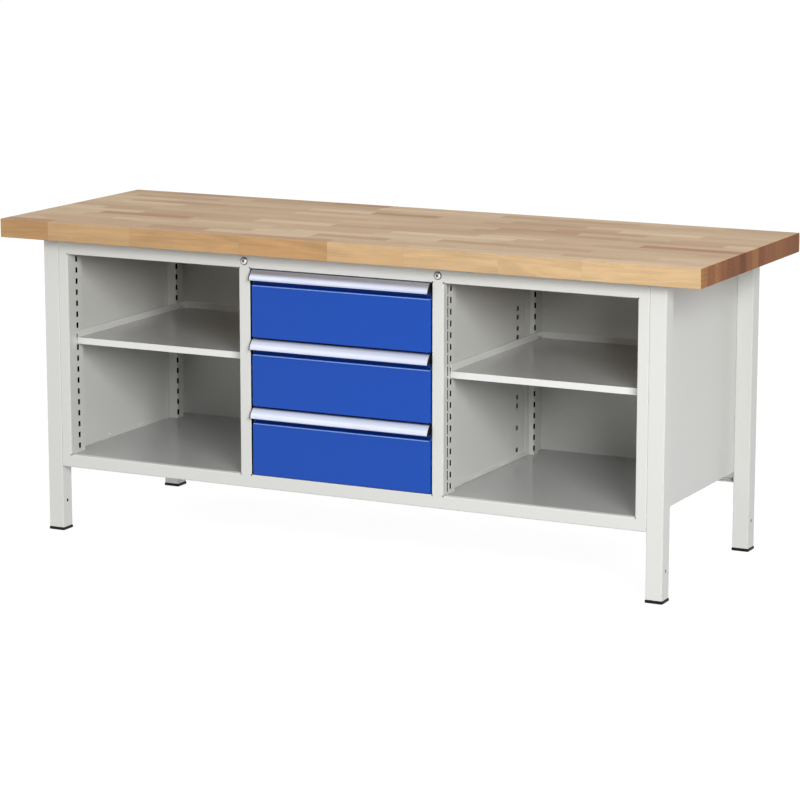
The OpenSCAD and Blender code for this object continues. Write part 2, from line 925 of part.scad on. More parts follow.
module outer_cages(n) {
    color(silver)
        slide_pair(n)
            cage(slide_t + run_gap, ball_z1);
}

module inner_cages(n) {
    color(silver)
        slide_pair(n)
            cage(mid_x + slide_t + run_gap, ball_z2);
}

// ---- The nodes ----

worktop();
worktop_screws();
front_frame();
frame_bolts();
rear_top_rail();
rear_bottom_rail();
back_panel();
floor_side(-1);  // floor_left
floor_centre();
floor_side(1);  // floor_right
shelf_clips();
for (i = [0 : 3]) {
    leg(i);
    foot(i);
    upright(i);
    post(i);
}
for (i = [0 : 1]) {
    side_panel(ends[i]);
    divider(ends[i]);
    shelf(ends[i]);
}
for (n = drawers) {
    drawer_box(n);
    drawer_front(n);
    handle(n);
    end_caps(n);
    inner_slides(n);
    middle_slides(n);
    outer_slides(n);
    outer_cages(n);
    inner_cages(n);
}
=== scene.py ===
"""Looks of the workbench: materials, detailed pieces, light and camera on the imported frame.

Lengths in the mesh code are millimetres, and MM turns them into Blender's metres.
"""

import json
import math
import random

import bmesh
import bpy
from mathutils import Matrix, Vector


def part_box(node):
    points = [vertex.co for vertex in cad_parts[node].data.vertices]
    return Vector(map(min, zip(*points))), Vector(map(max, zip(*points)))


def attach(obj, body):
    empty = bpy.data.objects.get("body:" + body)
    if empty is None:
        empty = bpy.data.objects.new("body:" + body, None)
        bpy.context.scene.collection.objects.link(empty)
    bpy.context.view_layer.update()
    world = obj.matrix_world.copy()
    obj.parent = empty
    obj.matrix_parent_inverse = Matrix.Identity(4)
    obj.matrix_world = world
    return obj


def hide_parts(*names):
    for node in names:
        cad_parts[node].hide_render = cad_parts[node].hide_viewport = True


MM = 0.001
SEED = 7
# Thickness of the folded sheet
SHEET = 1.5

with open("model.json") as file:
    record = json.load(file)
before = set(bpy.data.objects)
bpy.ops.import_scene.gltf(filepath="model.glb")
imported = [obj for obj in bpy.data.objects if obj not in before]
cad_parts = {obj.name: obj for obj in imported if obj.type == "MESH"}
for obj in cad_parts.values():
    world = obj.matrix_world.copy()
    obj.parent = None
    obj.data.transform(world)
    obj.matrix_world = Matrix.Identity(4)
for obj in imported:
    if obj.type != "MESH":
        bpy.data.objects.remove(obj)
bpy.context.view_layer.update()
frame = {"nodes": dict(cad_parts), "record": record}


def box_mm(node):
    """Lowest and highest corner of a CAD node, in millimetres."""
    low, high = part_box(node)
    return low / MM, high / MM


# ---- Node materials ----


def tone(red, green, blue):
    """A colour given as it looks on screen, as the linear colour that a shader takes."""
    linear = []
    for level in (red, green, blue):
        share = level / 255
        linear.append(share / 12.92 if share <= 0.04045 else ((share + 0.055) / 1.055) ** 2.4)
    return (*linear, 1.0)


# The four limits of a Map Range node
RANGE_KEYS = ("From Min", "From Max", "To Min", "To Max")


class Graph:
    """A material's nodes, with one short call for each kind used here."""

    def __init__(self, name, roughness, metallic=0.0):
        self.material = bpy.data.materials.new(name)
        self.material.use_nodes = True
        self.tree = self.material.node_tree
        self.shader = self.tree.nodes["Principled BSDF"]
        self.shader.inputs["Roughness"].default_value = roughness
        self.shader.inputs["Metallic"].default_value = metallic

    def node(self, kind, **settings):
        made = self.tree.nodes.new(kind)
        for key, value in settings.items():
            setattr(made, key, value)
        return made

    def feed(self, socket, value):
        """Links a socket to another one, or sets its number or colour."""
        if isinstance(value, bpy.types.NodeSocket):
            self.tree.links.new(value, socket)
        else:
            socket.default_value = value

    def place(self, scale=(1, 1, 1), shift=None):
        """The point on the piece in metres, moved by shift and stretched by scale."""
        point = self.node("ShaderNodeTexCoord").outputs["Object"]
        if shift is not None:
            point = self.vector("ADD", point, shift)
        return self.vector("MULTIPLY", point, scale)

    def vector(self, operation, first, second):
        made = self.node("ShaderNodeVectorMath", operation=operation)
        self.feed(made.inputs[0], first)
        self.feed(made.inputs[1], second)
        return made.outputs["Vector"]

    def math(self, operation, first, second=0.0):
        made = self.node("ShaderNodeMath", operation=operation)
        self.feed(made.inputs[0], first)
        self.feed(made.inputs[1], second)
        return made.outputs["Value"]

    def close(self, value, centre, reach):
        """1 where the value in metres is within reach of centre, both in mm."""
        made = self.node("ShaderNodeMath", operation="COMPARE")
        self.feed(made.inputs[0], value)
        self.feed(made.inputs[1], centre * MM)
        self.feed(made.inputs[2], reach * MM)
        return made.outputs["Value"]

    def noise(self, place, scale=1.0, detail=2.0, distortion=0.0):
        made = self.node("ShaderNodeTexNoise")
        self.feed(made.inputs["Vector"], place)
        self.feed(made.inputs["Scale"], scale)
        self.feed(made.inputs["Detail"], detail)
        self.feed(made.inputs["Distortion"], distortion)
        return made.outputs["Fac"]

    def ramp(self, value, *stops):
        """A colour ramp. Each stop is (position, colour)."""
        made = self.node("ShaderNodeValToRGB")
        band = made.color_ramp
        for _ in stops[2:]:
            band.elements.new(0.5)
        for element, (position, colour) in zip(band.elements, stops):
            element.position = position
            element.color = colour
        self.feed(made.inputs["Fac"], value)
        return made.outputs["Color"]

    def levels(self, value, low, high, out_low, out_high):
        """Maps a number from one range to another, and holds it inside the second."""
        made = self.node("ShaderNodeMapRange")
        for key, number in zip(RANGE_KEYS, (low, high, out_low, out_high)):
            self.feed(made.inputs[key], number)
        self.feed(made.inputs["Value"], value)
        return made.outputs["Result"]

    def mix(self, share, first, second, blend="MIX"):
        made = self.node("ShaderNodeMix", data_type="RGBA", blend_type=blend)
        self.feed(made.inputs["Factor"], share)
        colours = [s for s in made.inputs if s.type == "RGBA"]
        self.feed(colours[0], first)
        self.feed(colours[1], second)
        return next(s for s in made.outputs if s.type == "RGBA")

    def shade(self, colour, amount):
        """Colour times a grey amount."""
        grey = self.node("ShaderNodeCombineColor")
        for name in ("Red", "Green", "Blue"):
            self.feed(grey.inputs[name], amount)
        return self.mix(1.0, colour, grey.outputs["Color"], "MULTIPLY")

    def bump(self, height, depth, strength=1.0, under=None):
        made = self.node("ShaderNodeBump")
        self.feed(made.inputs["Height"], height)
        self.feed(made.inputs["Distance"], depth)
        self.feed(made.inputs["Strength"], strength)
        if under is not None:
            self.feed(made.inputs["Normal"], under)
        return made.outputs["Normal"]

    def attribute(self, name):
        made = self.node("ShaderNodeAttribute", attribute_name=name, attribute_type="GEOMETRY")
        return made.outputs["Color"], made.outputs["Alpha"]

    def finish(self, colour, normal=None, roughness=None):
        self.feed(self.shader.inputs["Base Color"], colour)
        if normal is not None:
            self.feed(self.shader.inputs["Normal"], normal)
        if roughness is not None:
            self.feed(self.shader.inputs["Roughness"], roughness)
        return self.material


# Noise stays mostly within these values
NOISE_SPAN = (0.3, 0.7)

# How far in from a hollow's outside its painted shade starts: in sheet, so that a slot's edges stay
# light, and in a leg's wall, at a hole's edges
SHEET_SHADE_INSET = 1.3
LEG_SHADE_INSET = 1.4
# Width of the flange that joins a rear upright to the wall in front of it
WALL_FLANGE = 18
# Painted shade on the folded edge beside the drawers: its reach to both sides, and its gaps at front and
# back
FOLD_SHADE_REACH = (1.0, 1.6)
FOLD_SHADE_GAPS = (2.0, 0.2)
# Colour of the painted shade in the hollows, on the folded edge beside the drawers and round the hole
# rims
PAINTED_SHADE_TONE = tone(20, 20, 20)

# Round holes in the walls beside the drawers, with painted shade round their rims
HOLE_HEIGHTS = (240, 300, 360, 384, 546, 570, 600, 624)
HOLE_Y = 179
HOLE_SHADE_REACH = 5.8
SHEET_REACH = 1.5


def shaded_hollow_spans():
    """Plan of where painted shade darkens the channels', posts' and legs' insides, and last the folded
    edge beside the drawers.

    Each is an x span and a y span in mm, and x counts to both sides.
    """
    channel, channel_end = box_mm("upright_front_right")
    rear_channel, rear_channel_end = box_mm("upright_rear_right")
    post, post_end = box_mm("post_front_right")
    rear_post, rear_post_end = box_mm("post_rear_right")
    leg, leg_end = box_mm("leg_front_right")
    rear_leg, rear_leg_end = box_mm("leg_rear_right")
    wall_x = box_mm("side_panel_right")[1].x
    step_x = box_mm("divider_right")[1].x
    step_y = rear_channel.y + WALL_FLANGE
    outsides = (
        ((channel.x, wall_x), (channel.y, channel_end.y), SHEET_SHADE_INSET),
        ((rear_channel.x, wall_x), (step_y, rear_channel_end.y), SHEET_SHADE_INSET),
        ((post.x, post_end.x), (post.y, post_end.y), SHEET_SHADE_INSET),
        ((rear_post.x, step_x), (rear_post.y, rear_post_end.y), SHEET_SHADE_INSET),
        ((rear_post.x, rear_post_end.x), (step_y, rear_post_end.y), SHEET_SHADE_INSET),
        ((leg.x, leg_end.x), (leg.y, leg_end.y), LEG_SHADE_INSET),
        ((rear_leg.x, rear_leg_end.x), (rear_leg.y, rear_leg_end.y), LEG_SHADE_INSET),
    )
    spans = [[(low + inset, high - inset) for low, high in (xs, ys)] for xs, ys, inset in outsides]
    fold_y = (leg.y + FOLD_SHADE_GAPS[0], post.y - FOLD_SHADE_GAPS[1])
    return [*spans, [(post.x - FOLD_SHADE_REACH[0], post.x + FOLD_SHADE_REACH[1]), fold_y]]


def painted_shade_mask(g):
    """1 where painted shade darkens the hollows' insides, the folded edge and the rims of the holes, and
    0 elsewhere.
    """
    sheet_x = box_mm("divider_right")[0].x + SHEET / 2
    parts = g.node("ShaderNodeSeparateXYZ")
    g.feed(parts.inputs["Vector"], g.place())
    place = (g.math("ABSOLUTE", parts.outputs["X"]), parts.outputs["Y"])
    mask = None
    for spans in shaded_hollow_spans():
        inside = None
        for value, (low, high) in zip(place, spans):
            for operation, limit in (("GREATER_THAN", low), ("LESS_THAN", high)):
                test = g.math(operation, value, limit * MM)
                inside = test if inside is None else g.math("MULTIPLY", inside, test)
        mask = inside if mask is None else g.math("MAXIMUM", mask, inside)
    # Painted shade round the rims of the holes in the divider sheet
    in_sheet = g.close(place[0], sheet_x, SHEET_REACH)
    wall = g.math("MULTIPLY", in_sheet, g.close(place[1], HOLE_Y, HOLE_SHADE_REACH))
    for z in HOLE_HEIGHTS:
        rim_shade = g.math("MULTIPLY", wall, g.close(parts.outputs["Z"], z, HOLE_SHADE_REACH))
        mask = g.math("MAXIMUM", mask, rim_shade)
    return mask


def powder_coat(name, colour, roughness, specular=0.5, shade_hollows=False, upward_shade=1.0):
    """Sprayed paint: slight cloudiness and an orange-peel surface.

    Where asked for, painted shade darkens the hollows, and a painted shade darkens upward faces by the
    given share.
    """
    g = Graph(name, roughness)
    g.shader.inputs["Specular IOR Level"].default_value = specular
    cloud = g.noise(g.place(), scale=3.0, detail=0.0)
    fine = g.noise(g.place(), scale=320.0, detail=2.0)
    tinted = g.shade(colour, g.levels(cloud, 0.0, 1.0, 0.997, 1.003))
    tinted = g.shade(tinted, g.levels(fine, 0.2, 0.8, 0.98, 1.02))
    # Painted shade: the hollows' insides, the folded edge beside the drawers and the hole rims are
    # darkened
    if shade_hollows:
        tinted = g.mix(painted_shade_mask(g), tinted, PAINTED_SHADE_TONE)
    # Painted shade: upward faces darker by the given share
    if upward_shade != 1.0:
        parts = g.node("ShaderNodeSeparateXYZ")
        g.feed(parts.inputs["Vector"], g.node("ShaderNodeTexCoord").outputs["Normal"])
        tinted = g.shade(tinted, g.levels(parts.outputs["Z"], 0.7, 0.95, 1.0, upward_shade))
    peel = g.noise(g.place(), scale=420.0, detail=1.0)
    grain = g.noise(g.place(), scale=1900.0, detail=1.0)
    normal = g.bump(peel, 0.03 * MM, 0.4)
    normal = g.bump(grain, 0.01 * MM, 0.4, under=normal)
    gloss = g.levels(cloud, 0.0, 1.0, roughness - 0.004, roughness + 0.004)
    return g.finish(tinted, normal, gloss)


def brushed_aluminium(name, colour):
    """Satin anodised extrusion with fine draw lines along the bench."""
    g = Graph(name, 0.35, metallic=0.85)
    lines = g.noise(g.place((2.0, 2400.0, 2400.0)), detail=3.0)
    broad = g.noise(g.place((0.7, 260.0, 260.0)), detail=2.0)
    cloud = g.noise(g.place(), scale=9.0, detail=2.0)
    tinted = g.shade(colour, g.levels(lines, *NOISE_SPAN, 0.93, 1.03))
    tinted = g.shade(tinted, g.levels(broad, *NOISE_SPAN, 0.96, 1.03))
    gloss = g.levels(g.math("ADD", lines, cloud), 0.7, 1.3, 0.31, 0.39)
    return g.finish(tinted, g.bump(lines, 0.02 * MM, 0.5), gloss)


def zinc_plate(name, colour):
    """Bright zinc: faint cloudy patches and rolling lines."""
    g = Graph(name, 0.45, metallic=0.9)
    patches = g.noise(g.place(), scale=55.0, detail=3.0)
    lines = g.noise(g.place((900.0, 12.0, 900.0)), detail=2.0)
    tinted = g.shade(colour, g.levels(patches, *NOISE_SPAN, 0.86, 1.04))
    gloss = g.levels(patches, *NOISE_SPAN, 0.38, 0.52)
    return g.finish(tinted, g.bump(lines, 0.01 * MM, 0.5), gloss)


def moulded_plastic(name, colour):
    """Black moulded plastic with a fine spark-eroded grain."""
    g = Graph(name, 0.48)
    g.shader.inputs["Specular IOR Level"].default_value = 0.2
    grain = g.noise(g.place(), scale=1400.0, detail=2.0)
    cloud = g.noise(g.place(), scale=60.0, detail=2.0)
    tinted = g.shade(colour, g.levels(cloud, *NOISE_SPAN, 0.85, 1.2))
    gloss = g.levels(cloud, *NOISE_SPAN, 0.4, 0.55)
    return g.finish(tinted, g.bump(grain, 0.03 * MM, 0.5), gloss)


GLUE_W = 0.45 * MM
WOOD_SPECULAR = 0.25
# Moves each stave's grain away from its neighbours' by up to this many metres
SEED_SPREAD = 9.0


def glue_lines(g):
    """1 on a stave's glued edges and 0 on its wood."""
    along, across_high = g.attribute("stave_place")
    parts = g.node("ShaderNodeSeparateColor")
    g.feed(parts.inputs["Color"], along)
    nearest = g.math("MINIMUM", parts.outputs["Red"], parts.outputs["Green"])
    nearest = g.math("MINIMUM", nearest, parts.outputs["Blue"])
    nearest = g.math("MINIMUM", nearest, across_high)
    return g.levels(nearest, 0.3 * GLUE_W, GLUE_W, 1.0, 0.0)


def long_grain(name, stops, figure, gloss):
    """Beech seen along its fibres: stave tones, growth figure, fibres and short dark flecks."""
    g = Graph(name, gloss)
    g.shader.inputs["Specular IOR Level"].default_value = WOOD_SPECULAR
    seed, stave_tone = g.attribute("stave")
    shift = g.vector("MULTIPLY", seed, (SEED_SPREAD, SEED_SPREAD, SEED_SPREAD))
    wander = g.noise(g.place((2.2, 9.0, 9.0), shift), detail=2.0)
    value = g.math("ADD", stave_tone, g.levels(wander, *NOISE_SPAN, -0.1, 0.1))
    colour = g.ramp(value, *stops)
    rings = g.noise(g.place((1.6, 26.0, 26.0), shift), detail=4.0, distortion=1.4)
    bands = g.math("PINGPONG", g.math("MULTIPLY", rings, 7.0), 1.0)
    colour = g.shade(colour, g.levels(bands, 0.0, 1.0, 1.0 - figure, 1.0 + figure))
    blotch = g.noise(g.place((5.0, 17.0, 17.0), shift), detail=3.0, distortion=0.8)
    colour = g.shade(colour, g.levels(blotch, *NOISE_SPAN, 1.0 - figure, 1.0 + 0.8 * figure))
    fibres = g.noise(g.place((14.0, 620.0, 620.0), shift), detail=3.0)
    colour = g.shade(colour, g.levels(fibres, *NOISE_SPAN, 0.93, 1.06))
    flecks = g.noise(g.place((170.0, 1300.0, 1300.0), shift), detail=1.0)
    fleck_mask = g.levels(flecks, 0.62, 0.72, 0.0, 0.35)
    colour = g.mix(fleck_mask, colour, g.shade(colour, 0.62))
    colour = g.mix(g.math("MULTIPLY", glue_lines(g), 0.4), colour, g.shade(colour, 0.55))
    normal = g.bump(fibres, 0.05 * MM, 0.5)
    return g.finish(colour, normal, g.levels(fibres, *NOISE_SPAN, gloss - 0.04, gloss + 0.06))


def end_grain(name, stops, gloss):
    """Sawn ends of the staves: darker, with growth rings and a fine pore speckle."""
    g = Graph(name, gloss)
    g.shader.inputs["Specular IOR Level"].default_value = WOOD_SPECULAR
    seed, stave_tone = g.attribute("stave")
    shift = g.vector("MULTIPLY", seed, (SEED_SPREAD, 0.35, 0.35))
    colour = g.ramp(stave_tone, *stops)
    rings = g.node("ShaderNodeTexWave", wave_type="RINGS", rings_direction="X")
    g.feed(rings.inputs["Vector"], g.place((1.0, 1.0, 0.35), shift))
    g.feed(rings.inputs["Scale"], 75.0)
    g.feed(rings.inputs["Distortion"], 2.2)
    g.feed(rings.inputs["Detail"], 2.0)
    colour = g.shade(colour, g.levels(rings.outputs["Fac"], 0.0, 1.0, 0.88, 1.08))
    streaks = g.noise(g.place((1.0, 190.0, 16.0), shift), detail=3.0)
    colour = g.shade(colour, g.levels(streaks, *NOISE_SPAN, 0.82, 1.14))
    pores = g.noise(g.place(), scale=1500.0, detail=1.0)
    colour = g.shade(colour, g.levels(pores, 0.35, 0.65, 0.9, 1.08))
    colour = g.mix(g.math("MULTIPLY", glue_lines(g), 0.55), colour, g.shade(colour, 0.45))
    return g.finish(colour, g.bump(pores, 0.05 * MM, 0.5), gloss)


FACE_STOPS = (
    (0.0, tone(172, 132, 100)),
    (0.35, tone(190, 160, 127)),
    (0.7, tone(200, 173, 141)),
    (1.0, tone(213, 190, 158)),
)
EDGE_STOPS = (
    (0.0, tone(184, 140, 94)),
    (0.35, tone(197, 158, 112)),
    (0.7, tone(205, 171, 128)),
    (1.0, tone(210, 178, 134)),
)
END_STOPS = (
    (0.0, tone(114, 60, 28)),
    (0.4, tone(136, 80, 40)),
    (0.75, tone(154, 96, 52)),
    (1.0, tone(174, 122, 68)),
)

LIGHT_GREY = tone(221, 222, 218)
GREY_ROUGHNESS = 0.27

GREY_COAT = powder_coat("grey_coat", LIGHT_GREY, GREY_ROUGHNESS)
# Grey coat with painted shade in the hollows, on the folded edge beside the drawers and round the hole
# rims
FRAME_SHADED_COAT = powder_coat("frame_coat_painted_shade", LIGHT_GREY, GREY_ROUGHNESS, shade_hollows=True)
# Coat of the floors and shelves, with painted shade on its upward faces
TRAY_SHADED_COAT = powder_coat("tray_coat_painted_shade", tone(232, 233, 231), 0.12, specular=0.8, upward_shade=0.56)
BLUE_COAT = powder_coat("blue_coat", tone(0, 73, 178), 0.3, specular=0.35)
# Painted highlight along the top bend of the drawer fronts
BLUE_BEND_HIGHLIGHT = powder_coat("blue_bend_painted_highlight", tone(126, 160, 226), 0.25)
# Painted shade of the blue in the recess under the handle
BLUE_RECESS_SHADE = powder_coat("blue_recess_painted_shade", tone(0, 50, 140), 0.4, specular=0.2)
ALUMINIUM = brushed_aluminium("satin_aluminium", tone(212, 218, 236))
ZINC = zinc_plate("zinc", tone(228, 229, 232))
# Darker zinc as painted shade in the groove between a bolt's flange and dome
ZINC_SHADE = zinc_plate("zinc_groove_painted_shade", tone(120, 120, 122))
PLASTIC = moulded_plastic("black_moulding", tone(22, 20, 20))
BEECH_FACE = long_grain("beech_face", FACE_STOPS, 0.05, 0.52)
BEECH_EDGE = long_grain("beech_edge", EDGE_STOPS, 0.075, 0.45)
BEECH_END = end_grain("beech_end", END_STOPS, 0.55)

SLOT_MATERIALS = {
    "grey_paint": GREY_COAT,
    "blue_paint": BLUE_COAT,
    "beech_board": BEECH_FACE,
    "handle_aluminium": ALUMINIUM,
    "black_plastic": PLASTIC,
    "zinc_steel": ZINC,
}
SLOT_OF = {part["node"]: part["material_slot"] for part in frame["record"]["subparts"]}


# ---- Outlines in a plane ----


def arc(centre, radius, start, end, steps):
    """Points on a circle, from one angle to another in degrees."""
    points = []
    for i in range(steps + 1):
        angle = math.radians(start + (end - start) * i / steps)
        points.append((centre[0] + radius * math.cos(angle), centre[1] + radius * math.sin(angle)))
    return points


def with_bends(points, radius, steps=4):
    """The polyline with each inner corner replaced by an arc."""
    bent = [Vector(points[0])]
    for before, corner, after in zip(points, points[1:], points[2:]):
        corner = Vector(corner)
        back = (Vector(before) - corner).normalized()
        ahead = (Vector(after) - corner).normalized()
        half = back.angle(ahead) / 2
        reach = radius / math.tan(half)
        centre = corner + (back + ahead).normalized() * (radius / math.sin(half))
        first = corner + back * reach - centre
        last = corner + ahead * reach - centre
        for i in range(steps + 1):
            bent.append(centre + first.lerp(last, i / steps).normalized() * radius)
    bent.append(Vector(points[-1]))
    return bent


def sheet_outline(path, thickness):
    """Closed outline of a sheet whose middle line is the path."""
    left = []
    right = []
    for i, point in enumerate(path):
        before = (point - path[i - 1]).normalized() if i else None
        after = (path[i + 1] - point).normalized() if i + 1 < len(path) else None
        ways = [way for way in (before, after) if way is not None]
        normals = [Vector((-way.y, way.x)) for way in ways]
        normal = sum(normals, Vector((0, 0))).normalized()
        offset = normal * (thickness / 2 / normal.dot(normals[0]))
        left.append(point + offset)
        right.append(point - offset)
    return left + right[::-1]


# ---- Mesh building ----


def prism(bm, outline, low, high, axis="X"):
    """Extrudes a closed outline: (y, z) along X, or (x, y) along Z."""

    def spot(point, along):
        if axis == "X":
            return Vector((along, point[0], point[1])) * MM
        return Vector((point[0], point[1], along)) * MM

    ends = [[bm.verts.new(spot(point, along)) for point in outline] for along in (low, high)]
    bm.faces.new(ends[0])
    bm.faces.new(ends[1][::-1])
    count = len(outline)
    for i in range(count):
        j = (i + 1) % count
        bm.faces.new((ends[0][i], ends[1][i], ends[1][j], ends[0][j]))


def turned_rings(bm, profile, place, steps):
    """One ring of vertices for each (radius, height) point of the profile."""
    rings = []
    for radius, height in profile:
        ring = []
        for i in range(steps):
            angle = math.tau * i / steps
            ring.append(bm.verts.new(place(radius * math.cos(angle), radius * math.sin(angle), height)))
        rings.append(ring)
    return rings


def lathe(bm, profile, place, steps):
    """Turns (radius, height) points about an axis; place(x, y, z) puts local millimetres in the frame."""
    join_rings(bm, turned_rings(bm, profile, place, steps))


def join_rings(bm, rings):
    """Skins rings of equal count, and closes the first and last."""
    for lower, upper in zip(rings, rings[1:]):
        count = len(lower)
        for i in range(count):
            j = (i + 1) % count
            bm.faces.new((lower[i], lower[j], upper[j], upper[i]))
    bm.faces.new(rings[0][::-1])
    bm.faces.new(rings[-1])


def round_square_ring(half, radius, steps=5):
    """Points of a square with round corners."""
    points = []
    inner = half - radius
    for k, (sx, sy) in enumerate(((1, 1), (-1, 1), (-1, -1), (1, -1))):
        points += arc((sx * inner, sy * inner), radius, 90 * k, 90 * k + 90, steps)
    return points


WELD_REACH = 0.01
SHARP_ANGLE = 40


def soften(obj, width, segments=2):
    """Rounds the piece's sharp edges, and keeps its flat faces flat."""
    weld = obj.modifiers.new("weld", "WELD")
    weld.merge_threshold = WELD_REACH * MM
    bevel = obj.modifiers.new("soft_edges", "BEVEL")
    bevel.width = width * MM
    bevel.segments = segments
    bevel.limit_method = "ANGLE"
    bevel.angle_limit = math.radians(SHARP_ANGLE)
    bevel.harden_normals = False
    normals = obj.modifiers.new("flat_faces", "WEIGHTED_NORMAL")
    normals.keep_sharp = True
    for face in obj.data.polygons:
        face.use_smooth = True


def add_piece(name, bm, materials, body, stands_for=(), edge=0.0):
    """Makes an object from the mesh, rides it on its body and hides the CAD nodes it stands for."""
    bmesh.ops.recalc_face_normals(bm, faces=bm.faces)
    mesh = bpy.data.meshes.new(name)
    bm.to_mesh(mesh)
    bm.free()
    for material in materials:
        mesh.materials.append(material)
    obj = bpy.data.objects.new(name, mesh)
    bpy.context.scene.collection.objects.link(obj)
    if edge:
        soften(obj, edge)
    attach(obj, body)
    if stands_for:
        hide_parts(*stands_for)
    return obj


# ---- Worktop ----

STAVE_ROWS = 16
STAVE_LENGTH = (150, 430)
# Butt joints of the front row, from the left end, and how light each stave there is
FRONT_JOINTS = [-850, -596, -268, -11, 205, 466, 690]
FRONT_TONES = [0.12, 0.42, 0.3, 0.2, 0.62, 0.72, 0.82, 0.95]
# How the other staves' lightness is spread
TONE_SPREAD = (2.2, 2.0)
# Added to the distance from the board's own edges, which aren't glued
OUTER = 20.0
BOARD_EDGE = 1.6
FACE, EDGE, END = range(3)


def stave_rows(low, high, rng):
    """Joint positions along the bench for each row of staves, ends included."""
    rows = [[low.x, *FRONT_JOINTS, high.x]]
    while len(rows) < STAVE_ROWS:
        joints = [low.x]
        x = low.x + rng.uniform(*STAVE_LENGTH) * rng.uniform(0.3, 1.0)
        while x < high.x - STAVE_LENGTH[0] / 2:
            joints.append(x)
            x += rng.uniform(*STAVE_LENGTH)
        joints.append(high.x)
        rows.append(joints)
    return rows


def build_worktop():
    """One closed board whose faces are cut at the staves' joints; each face knows its stave."""
    low, high = box_mm("worktop")
    rng = random.Random(SEED)
    rows = stave_rows(low, high, rng)
    width = (high.y - low.y) / STAVE_ROWS
    lines = []
    for k in range(STAVE_ROWS + 1):
        touching = rows[max(k - 1, 0)] + rows[min(k, STAVE_ROWS - 1)]
        lines.append(sorted(set(touching)))
    bm = bmesh.new()
    stave_layer = bm.loops.layers.float_color.new("stave")
    place_layer = bm.loops.layers.float_color.new("stave_place")
    points = {}
    for level, z in enumerate((low.z, high.z)):
        for k, xs in enumerate(lines):
            for x in xs:
                points[x, k, level] = bm.verts.new(Vector((x, low.y + k * width, z)) * MM)

    def face(corners, material, row, start, end, stave):
        made = bm.faces.new(corners)
        made.material_index = material
        for loop in made.loops:
            x, y = loop.vert.co.x / MM, loop.vert.co.y / MM
            away = [
                x - start + (OUTER if start == low.x else 0),
                end - x + (OUTER if end == high.x else 0),
                y - low.y - row * width + (OUTER if row == 0 else 0),
                low.y + (row + 1) * width - y + (OUTER if row == STAVE_ROWS - 1 else 0),
            ]
            loop[stave_layer] = stave
            loop[place_layer] = [distance * MM for distance in away]

    for row, joints in enumerate(rows):
        for i, (start, end) in enumerate(zip(joints, joints[1:])):
            light = FRONT_TONES[i] if row == 0 else rng.betavariate(*TONE_SPREAD)
            stave = (rng.random(), rng.random(), rng.random(), light)
            near = [x for x in lines[row] if start <= x <= end]
            far = [x for x in lines[row + 1] if start <= x <= end]
            for level in (0, 1):
                ring = [points[x, row, level] for x in near]
                ring += [points[x, row + 1, level] for x in reversed(far)]
                face(ring, FACE, row, start, end, stave)
            for edge_row, xs in ((0, near), (STAVE_ROWS, far)):
                if edge_row in (row, row + 1) and (edge_row == 0) == (row == 0):
                    ring = [points[x, edge_row, 0] for x in xs]
                    ring += [points[x, edge_row, 1] for x in reversed(xs)]
                    face(ring, EDGE, row, start, end, stave)
            for x in (low.x, high.x):
                if x in (start, end):
                    ring = [points[x, row, 0], points[x, row + 1, 0]]
                    ring += [points[x, row + 1, 1], points[x, row, 1]]
                    face(ring, END, row, start, end, stave)
    materials = [BEECH_FACE, BEECH_EDGE, BEECH_END]
    board = add_piece("worktop_board", bm, materials, "bench", ["worktop"])
    soften(board, BOARD_EDGE, segments=3)


# ---- Drawers ----

BEND = 2.2
# A hair less on the side returns, so that the bend ends before the next corner
RETURN_BEND = BEND - 0.01
# Height of the front's flat face, and how far the shoulder above it rises
FACE_HEIGHT = 136.25
SHOULDER_RISE = 5.8
FOLD_EDGE = 0.25
HANDLE_REACH = 16.0
HANDLE_DROP = 23.8
HANDLE_BULGE = 2.5
HANDLE_WALL = 1.8
HANDLE_PLATE = 2.5
HOOK_DROP = 3.0
BEAD_R = 2.2
# How far the bead's middle is set into the lip
BEAD_TUCK = 0.6
# Angles in degrees: the bead's arc, and where the handle's outer and inner curves stop before it
BEAD_ARC = (152, 380)
OUTER_STOP = 3.5
INNER_STOP = 4.0
CAP_PROUD = 0.7
CAP_EDGE = 0.5
# The same for the caps, which also start late, and their foot above and behind the bead
CAP_START = 0.4
CAP_STOP = 3.0
CAP_BEAD_ARC = (152, 275)
CAP_SETBACK = 0.3
CAP_FOOT = 1.0


# Places on the front's mesh of the painted highlight along the bend and the painted shade in the recess
BEND_HIGHLIGHT, RECESS_SHADE = 1, 2


